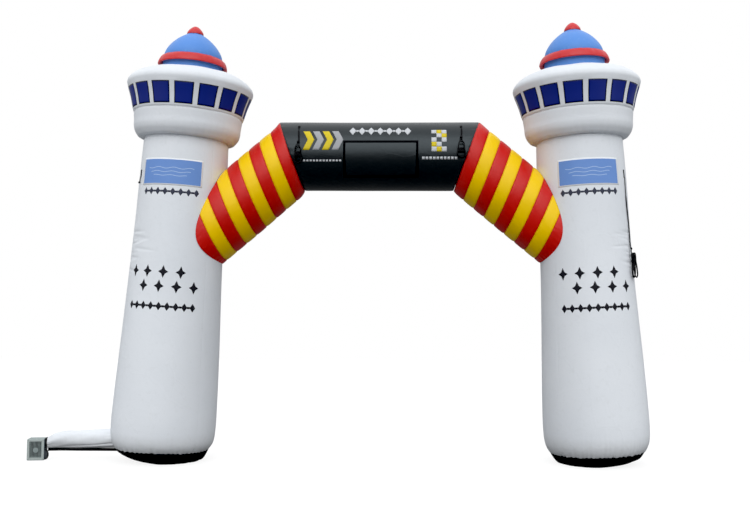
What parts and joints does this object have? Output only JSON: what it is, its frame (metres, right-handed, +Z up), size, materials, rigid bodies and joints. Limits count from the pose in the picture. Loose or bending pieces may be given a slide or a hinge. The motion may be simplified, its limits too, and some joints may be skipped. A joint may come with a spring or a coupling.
{
  "type": "inflatable arch",
  "caption": "Inflatable start and finish arch: lighthouse-shaped towers joined by striped arms and a black beam, with guy ropes, an inflation sleeve and a blower.",
  "frame": {"origin": "on the ground, under the middle of the whole part's bounding box, blower included", "axes": "+X along the beam, from the blower's tower to the other; +Y from the printed front to the back; +Z up"},
  "size_m": [9.2212, 1.898, 6.6131],
  "materials": {
    "white_cloth": "coated satin",
    "black_cloth": "coated satin",
    "red_cloth": "coated satin",
    "blue_cloth": "coated satin",
    "blower_grey": "satin",
    "dark_metal": "satin",
    "black_plastic": "matt",
    "black_rope": "braided"
  },
  "bodies": {
    "root": {"arm_left": "red_cloth", "arm_right": "red_cloth", "banner_frame": "black_cloth", "base_left": "black_cloth", "base_right": "black_cloth", "beam": "black_cloth", "blower_case": "blower_grey", "blower_grille": "blower_grey", "collar_left": "white_cloth", "collar_right": "white_cloth", "dome_left": "blue_cloth", "dome_right": "blue_cloth", "dome_ring_left": "red_cloth", "dome_ring_right": "red_cloth", "finial_left": "red_cloth", "finial_right": "red_cloth", "hank_beam_left": "black_rope", "hank_beam_right": "black_rope", "hank_tower_right": "black_rope", "inflation_sleeve": "white_cloth", "lantern_left": "white_cloth", "lantern_right": "white_cloth", "outlet_flange": "dark_metal", "rope_beam_left": "black_rope", "rope_beam_right": "black_rope", "rope_tower_left": "black_rope", "rope_tower_right": "black_rope", "side_handle": "black_plastic", "sleeve_keel": "black_cloth", "tab_beam_left": "black_cloth", "tab_beam_right": "black_cloth", "tab_tower_left": "black_cloth", "tab_tower_right": "black_cloth", "tower_left": "white_cloth", "tower_right": "white_cloth"}
  },
  "joints": []
}
